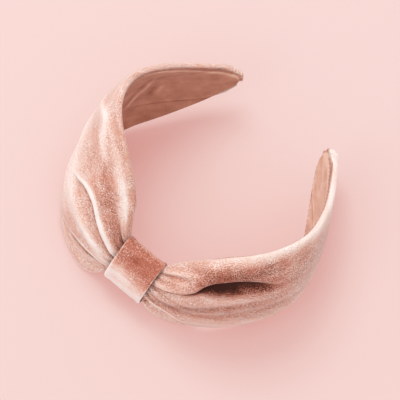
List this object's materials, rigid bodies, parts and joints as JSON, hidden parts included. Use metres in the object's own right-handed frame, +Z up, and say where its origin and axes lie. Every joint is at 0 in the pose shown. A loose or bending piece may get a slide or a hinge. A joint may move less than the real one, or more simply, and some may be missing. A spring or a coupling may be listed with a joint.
{
  "type": "knotted headband",
  "caption": "Springy open hoop worn over the head, with wide velvet-covered arms that narrow to the tips and gather into a wrapped knot at the crown.",
  "frame": {"origin": "middle of the footprint, on the surface that the headband lies on", "axes": "+Z up from that surface; the knot faces -Y, the open end +Y; the wearer's left-hand arm in this view lies at -X and the other at +X"},
  "size_m": [0.1568, 0.1448, 0.08],
  "materials": {
    "core_plastic": "satin moulded",
    "foam": "soft sheet foam interlining",
    "lining": "matte brushed suedette",
    "velvet": "crushed velvet with a pale sheen",
    "wrap_velvet": "crushed velvet, pulled tight",
    "thread": "spun polyester sewing thread"
  },
  "bodies": {
    "crown": {"core_crown": "core_plastic", "lining_crown": "lining", "gathered_velvet": "velvet", "knot_wrap": "wrap_velvet", "wrap_stitches": "thread"},
    "left_arm": {"core_arm_left": "core_plastic", "foam_left": "foam", "lining_left": "lining", "under_velvet_left": "velvet", "pleated_velvet_left": "velvet", "seam_thread_left": "thread"},
    "right_arm": {"core_arm_right": "core_plastic", "foam_right": "foam", "lining_right": "lining", "under_velvet_right": "velvet", "pleated_velvet_right": "velvet", "seam_thread_right": "thread"}
  },
  "joints": [
    {"name": "left_arm_spring", "type": "hinge", "parent": "crown", "child": "left_arm", "pos_m": [-0.01594, -0.06394, 0.02811], "axis": [0.0509, 0.5243, 0.85], "range_deg": [0, 14], "stiffness_Nm_per_rad": 1.2},
    {"name": "right_arm_spring", "type": "hinge", "parent": "crown", "child": "right_arm", "pos_m": [0.01132, -0.06397, 0.02665], "axis": [-0.0404, -0.5179, -0.8545], "range_deg": [0, 14], "stiffness_Nm_per_rad": 1.2}
  ]
}
